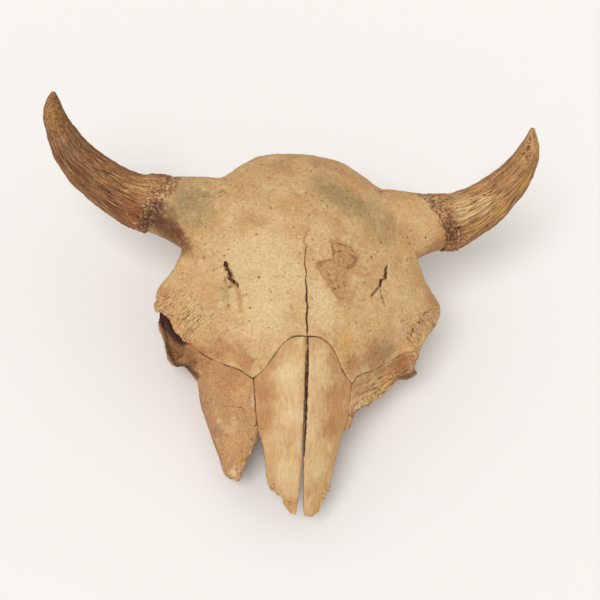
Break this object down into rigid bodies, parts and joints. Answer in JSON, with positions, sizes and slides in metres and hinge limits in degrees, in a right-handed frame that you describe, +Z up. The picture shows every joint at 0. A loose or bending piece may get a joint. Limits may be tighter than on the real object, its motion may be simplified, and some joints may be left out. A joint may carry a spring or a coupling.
{
  "type": "bison skull",
  "caption": "Weathered horned skull without a lower jaw, lying face up: broad domed forehead, bare curved horn cores, eye sockets, long split nasal bones and a broken muzzle.",
  "frame": {"origin": "on the floor under the middle of the bounding box, as the skull rests face up", "axes": "+X to the animal's left, along the spread of the horn cores; +Y from the nose towards the poll; +Z up"},
  "size_m": [0.524, 0.389, 0.2203],
  "materials": {
    "frontal": "dry weathered bone, tan, matt",
    "horn_core": "dry furrowed bone, brown, matt",
    "nasal": "dry weathered bone, tan, matt",
    "lacrimal": "dry weathered bone, reddish tan, matt",
    "maxilla": "dry weathered bone, reddish tan, matt",
    "zygomatic": "dry weathered bone, reddish tan, matt",
    "temporal": "dry weathered bone, tan, matt",
    "occipital": "dry weathered bone, tan, matt",
    "sphenoid": "dry weathered bone, tan, matt"
  },
  "bodies": {
    "root": {"frontal_left": "frontal", "frontal_right": "frontal", "horn_core_left": "horn_core", "horn_core_right": "horn_core", "nasal_left": "nasal", "nasal_right": "nasal", "lacrimal_left": "lacrimal", "lacrimal_right": "lacrimal", "maxilla_left": "maxilla", "maxilla_right": "maxilla", "zygomatic_left": "zygomatic", "zygomatic_right": "zygomatic", "temporal_left": "temporal", "temporal_right": "temporal", "occipital": "occipital", "sphenoid": "sphenoid"}
  },
  "joints": []
}
